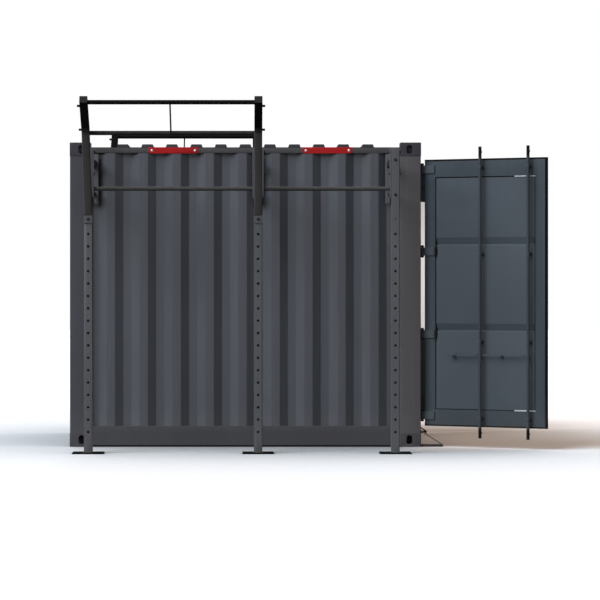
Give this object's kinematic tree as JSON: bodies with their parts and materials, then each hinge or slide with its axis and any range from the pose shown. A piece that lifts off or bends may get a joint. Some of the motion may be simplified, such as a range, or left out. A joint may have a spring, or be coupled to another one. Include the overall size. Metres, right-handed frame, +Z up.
{
  "type": "container training rig",
  "caption": "Short steel shipping container with hinged double doors at one end, lock rods, short ground stays, and pull-up frames with bent arms along both long sides.",
  "frame": {"origin": "middle of the bounding box on the ground, doors standing open", "axes": "+X from the blind end wall towards the door end, +Y across the container, +Z up"},
  "size_m": [4.0256, 5.9696, 2.882],
  "materials": {
    "shell_paint": "satin dark grey paint",
    "door_paint": "satin slate grey paint",
    "rig_paint": "powder coat, dark grey",
    "stay_paint": "worn dark grey-brown paint",
    "red_plate": "satin red paint",
    "zinc": "bright zinc",
    "floor_ply": "sealed plywood",
    "seal_rubber": "matt black rubber",
    "liner_white": "off-white sheet",
    "cap_plastic": "moulded plastic"
  },
  "bodies": {
    "container": {"arm_bolts": "rig_paint", "arm_caps": "cap_plastic", "arm_pads": "rig_paint", "arms": "rig_paint", "bar_brackets": "rig_paint", "base_plates": "rig_paint", "bottom_side_rails": "shell_paint", "brace_rods": "rig_paint", "corner_castings": "shell_paint", "cross_members": "shell_paint", "door_header": "shell_paint", "door_posts": "shell_paint", "door_sill": "shell_paint", "end_posts": "shell_paint", "end_rails": "shell_paint", "end_wall": "shell_paint", "floor_boards": "floor_ply", "ground_stays": "stay_paint", "high_bars": "rig_paint", "hinge_lugs": "door_paint", "hinge_pins": "door_paint", "lock_keepers": "door_paint", "low_bars": "rig_paint", "pull_up_bars": "rig_paint", "rig_bolts": "rig_paint", "roof_panel": "shell_paint", "side_walls": "shell_paint", "sign_plates": "red_plate", "sign_screws": "zinc", "stand_off_beams": "rig_paint", "stay_feet": "stay_paint", "top_side_rails": "shell_paint", "uprights": "rig_paint", "wall_plates": "rig_paint", "wall_ties": "rig_paint"},
    "far_door": {"far_door_frame": "door_paint", "far_door_liner": "liner_white", "far_door_panel": "door_paint", "far_door_seal": "seal_rubber", "far_handle_catches": "door_paint", "far_hinge_blades": "door_paint", "far_rod_guides": "door_paint"},
    "far_inner_lever": {"far_inner_handle": "door_paint"},
    "far_inner_rod": {"far_inner_lock_rod": "door_paint"},
    "far_outer_lever": {"far_outer_handle": "door_paint"},
    "far_outer_rod": {"far_outer_lock_rod": "door_paint"},
    "near_door": {"near_door_frame": "door_paint", "near_door_liner": "liner_white", "near_door_panel": "door_paint", "near_door_seal": "seal_rubber", "near_handle_catches": "door_paint", "near_hinge_blades": "door_paint", "near_rod_guides": "door_paint"},
    "near_inner_lever": {"near_inner_handle": "door_paint"},
    "near_inner_rod": {"near_inner_lock_rod": "door_paint"},
    "near_outer_lever": {"near_outer_handle": "door_paint"},
    "near_outer_rod": {"near_outer_lock_rod": "door_paint"}
  },
  "joints": [
    {"name": "near_door_hinge", "type": "hinge", "parent": "container", "child": "near_door", "pos_m": [0.99222, -1.16, 1.319], "axis": [0, 0, -1], "range_deg": [-120.5, 59.5]},
    {"name": "near_inner_rod_turn", "type": "hinge", "parent": "near_door", "child": "near_inner_rod", "pos_m": [1.45966, -1.46784, 1.315], "axis": [0, 0, -1], "range_deg": [-100, 0]},
    {"name": "near_inner_handle_lift", "type": "hinge", "parent": "near_inner_rod", "child": "near_inner_lever", "pos_m": [1.43209, -1.4516, 0.788], "axis": [0.5075, 0.8616, 0], "range_deg": [0, 25]},
    {"name": "near_outer_rod_turn", "type": "hinge", "parent": "near_door", "child": "near_outer_rod", "pos_m": [1.84395, -1.6942, 1.315], "axis": [0, 0, -1], "range_deg": [-100, 0]},
    {"name": "near_outer_handle_lift", "type": "hinge", "parent": "near_outer_rod", "child": "near_outer_lever", "pos_m": [1.81638, -1.67796, 0.788], "axis": [0.5075, 0.8616, 0], "range_deg": [0, 25]},
    {"name": "far_door_hinge", "type": "hinge", "parent": "container", "child": "far_door", "pos_m": [0.99222, 1.16, 1.319], "axis": [0, 0, 1], "range_deg": [-120.5, 59.5]},
    {"name": "far_inner_rod_turn", "type": "hinge", "parent": "far_door", "child": "far_inner_rod", "pos_m": [1.45966, 1.46784, 1.315], "axis": [0, 0, 1], "range_deg": [-100, 0]},
    {"name": "far_inner_handle_lift", "type": "hinge", "parent": "far_inner_rod", "child": "far_inner_lever", "pos_m": [1.43209, 1.4516, 0.788], "axis": [-0.5075, 0.8616, 0], "range_deg": [0, 25]},
    {"name": "far_outer_rod_turn", "type": "hinge", "parent": "far_door", "child": "far_outer_rod", "pos_m": [1.84395, 1.6942, 1.315], "axis": [0, 0, 1], "range_deg": [-100, 0]},
    {"name": "far_outer_handle_lift", "type": "hinge", "parent": "far_outer_rod", "child": "far_outer_lever", "pos_m": [1.81638, 1.67796, 0.788], "axis": [-0.5075, 0.8616, 0], "range_deg": [0, 25]}
  ]
}
